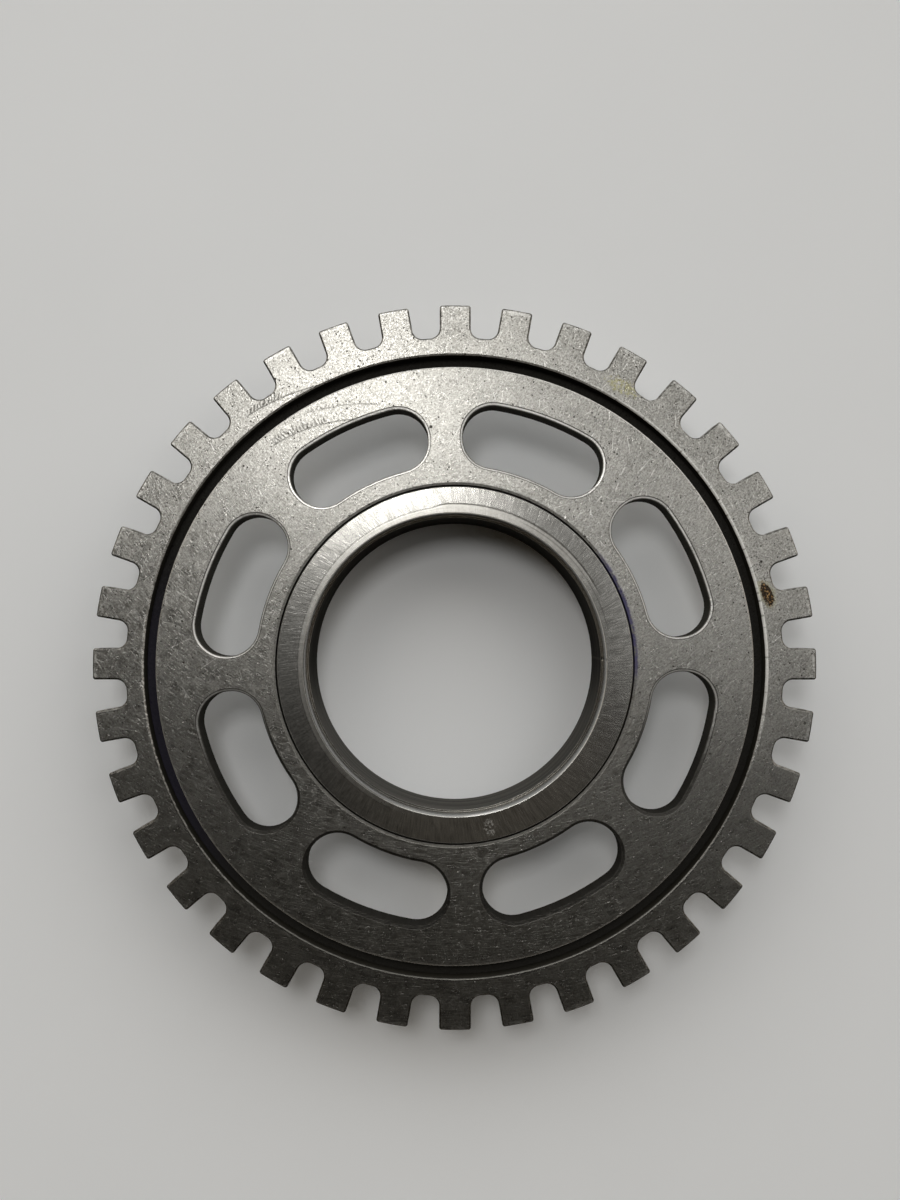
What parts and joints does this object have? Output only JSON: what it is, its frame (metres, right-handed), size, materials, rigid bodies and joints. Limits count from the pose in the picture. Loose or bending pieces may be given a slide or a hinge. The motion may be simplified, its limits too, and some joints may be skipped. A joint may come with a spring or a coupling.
{
  "type": "toothed sensor wheel",
  "caption": "Flat steel toothed wheel with square teeth, an annular groove, curved lightening slots and a bored hub that presses on a shaft.",
  "frame": {"origin": "centre of the hub's lower face, which the wheel stands on", "axes": "+Z along the wheel's axis, towards the hub's counterbored face; +X through the centre of a tooth and of a slot"},
  "size_m": [0.097, 0.097, 0.0116],
  "materials": {
    "ring_steel": "tumbled, matte grey, fine pores and light handling scratches",
    "disc_steel": "tumbled, matte grey, fine pores and light handling scratches",
    "hub_steel": "turned and faced, with crossing tool marks on the upper face"
  },
  "bodies": {
    "root": {"toothed_ring": "ring_steel", "slotted_disc": "disc_steel", "hub_ring": "hub_steel"}
  },
  "joints": []
}
